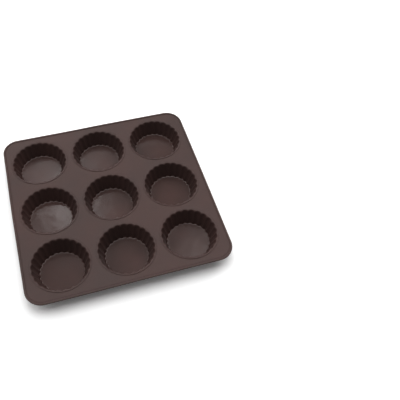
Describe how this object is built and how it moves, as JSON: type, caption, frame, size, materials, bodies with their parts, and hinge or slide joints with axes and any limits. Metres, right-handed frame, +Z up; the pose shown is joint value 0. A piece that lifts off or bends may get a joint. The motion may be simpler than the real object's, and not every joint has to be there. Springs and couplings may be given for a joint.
{
  "type": "silicone baking mould",
  "caption": "Square flexible baking mould with a grid of round fluted tapered cups and a stiffening lip round its deck",
  "frame": {"origin": "on the surface the mould stands on, under the middle of its deck", "axes": "+Z up out of the open cups, +X along one side of the square deck, the front side faces -Y"},
  "size_m": [0.24, 0.24, 0.0204],
  "materials": {
    "deck": "satin dark brown silicone",
    "edge_bead": "satin dark brown silicone",
    "cup": "satin dark brown silicone"
  },
  "bodies": {
    "root": {"deck": "deck", "edge_bead": "edge_bead", "cup_front_left": "cup", "cup_front_centre": "cup", "cup_front_right": "cup", "cup_middle_left": "cup", "cup_middle_centre": "cup", "cup_middle_right": "cup", "cup_back_left": "cup", "cup_back_centre": "cup", "cup_back_right": "cup"}
  },
  "joints": []
}
